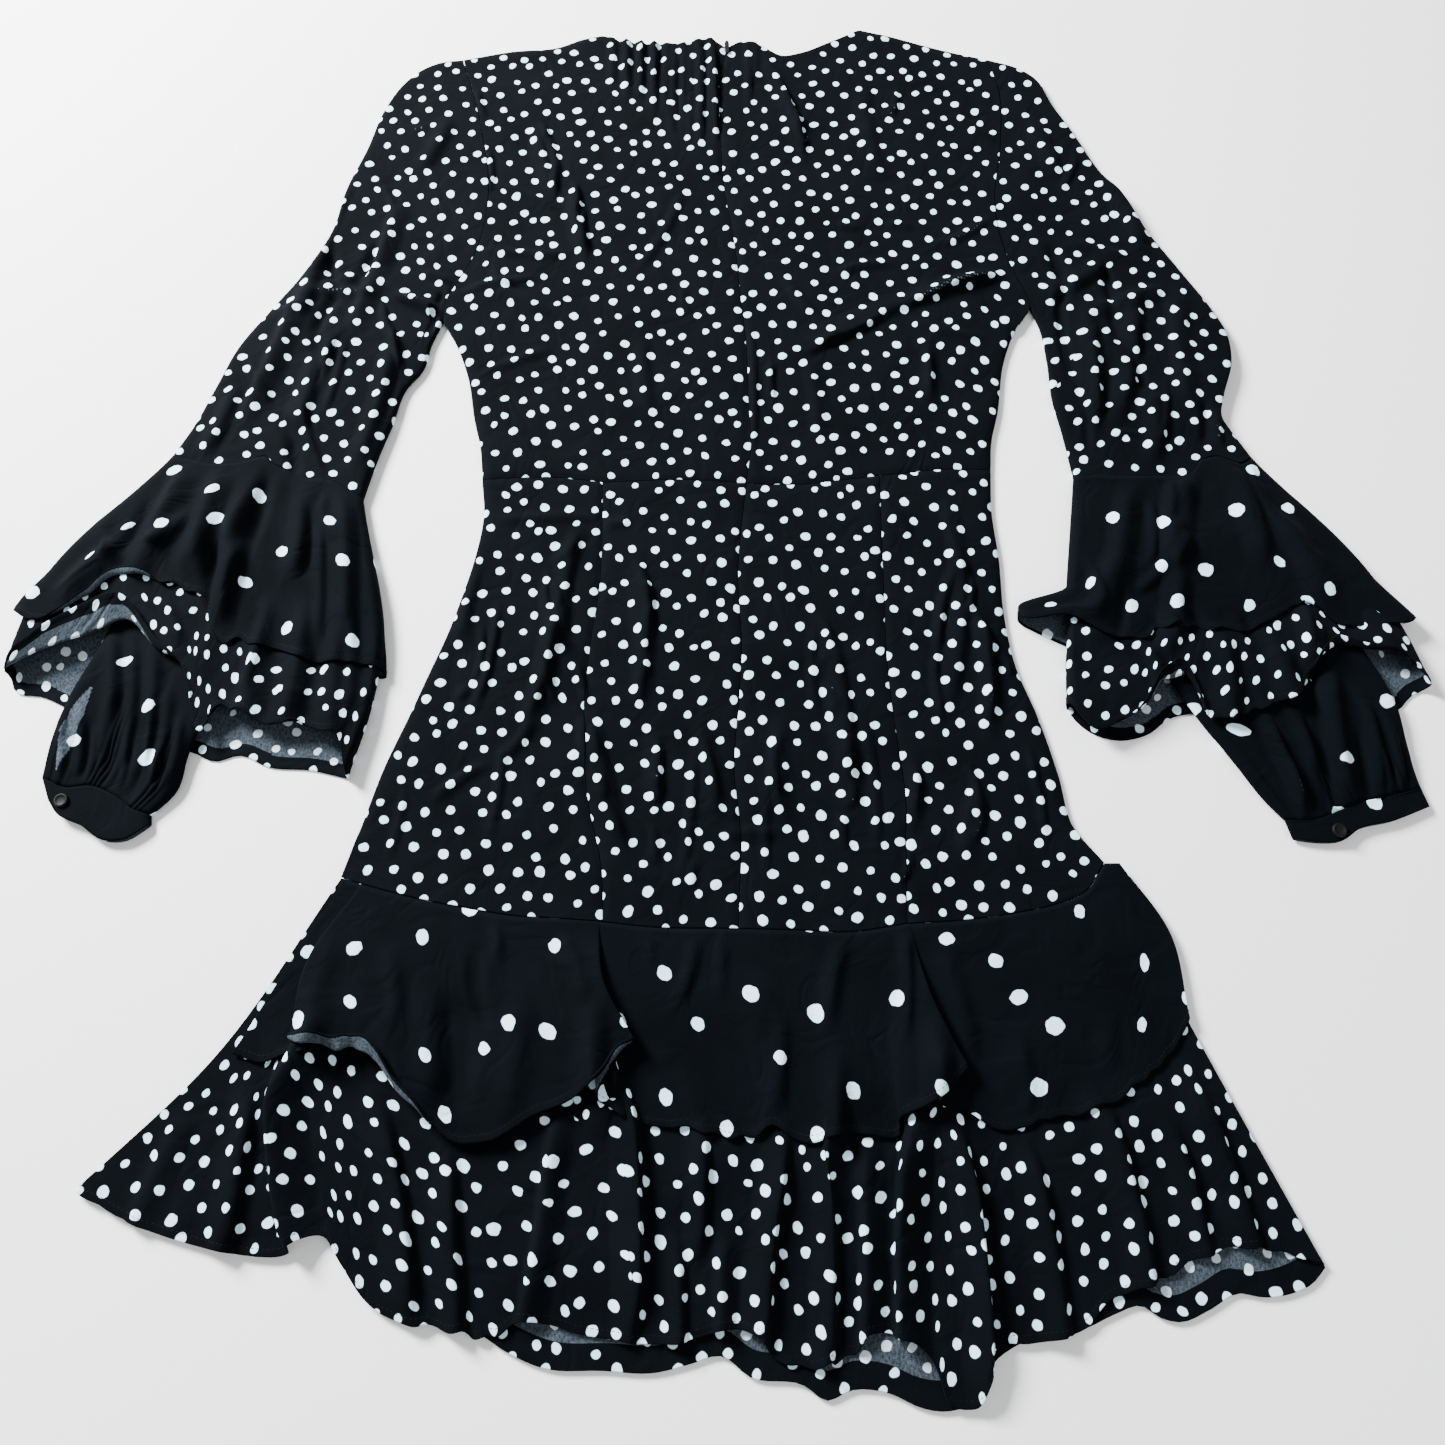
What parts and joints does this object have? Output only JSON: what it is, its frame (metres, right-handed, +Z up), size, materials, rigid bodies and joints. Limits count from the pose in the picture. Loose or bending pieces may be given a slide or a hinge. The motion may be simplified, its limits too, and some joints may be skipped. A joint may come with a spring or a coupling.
{
  "type": "long-sleeved ruffled dress",
  "caption": "Short dotted dress laid flat on its front, with long sleeves, tiered elbow ruffles, gathered cuffs and a two-tier flounce at the hem.",
  "frame": {"origin": "centre of the dress's outline as laid out, on the surface that it lies on", "axes": "+Z up off the surface, +Y from the hem to the neck, +X to the right as seen from above, with the dress lying on its front"},
  "size_m": [0.9166, 0.982, 0.0155],
  "materials": {
    "dotted_crepe": "matte woven crepe, near-black with small pale dots",
    "spotted_crepe": "matte woven crepe, near-black with large pale dots far apart",
    "button": "dyed, moulded, semi-gloss",
    "zip_tape": "woven tape",
    "zip_slider": "lacquered"
  },
  "bodies": {
    "root": {"bodice_front": "dotted_crepe", "skirt_front": "dotted_crepe", "bodice_back_left": "dotted_crepe", "bodice_back_right": "dotted_crepe", "skirt_side_left": "dotted_crepe", "skirt_centre_left": "dotted_crepe", "skirt_centre_right": "dotted_crepe", "skirt_side_right": "dotted_crepe", "lower_flounce_back": "dotted_crepe", "lower_flounce_front": "dotted_crepe", "sleeve_left": "dotted_crepe", "sleeve_right": "dotted_crepe", "ruffle_lower_left": "dotted_crepe", "ruffle_lower_right": "dotted_crepe", "upper_flounce_back": "spotted_crepe", "upper_flounce_front": "spotted_crepe", "ruffle_upper_left": "spotted_crepe", "ruffle_upper_right": "spotted_crepe", "balloon_left": "spotted_crepe", "balloon_right": "spotted_crepe", "cuff_left": "spotted_crepe", "cuff_right": "spotted_crepe", "button_left": "button", "button_right": "button", "zip_tape": "zip_tape", "zip_slider": "zip_slider"}
  },
  "joints": []
}
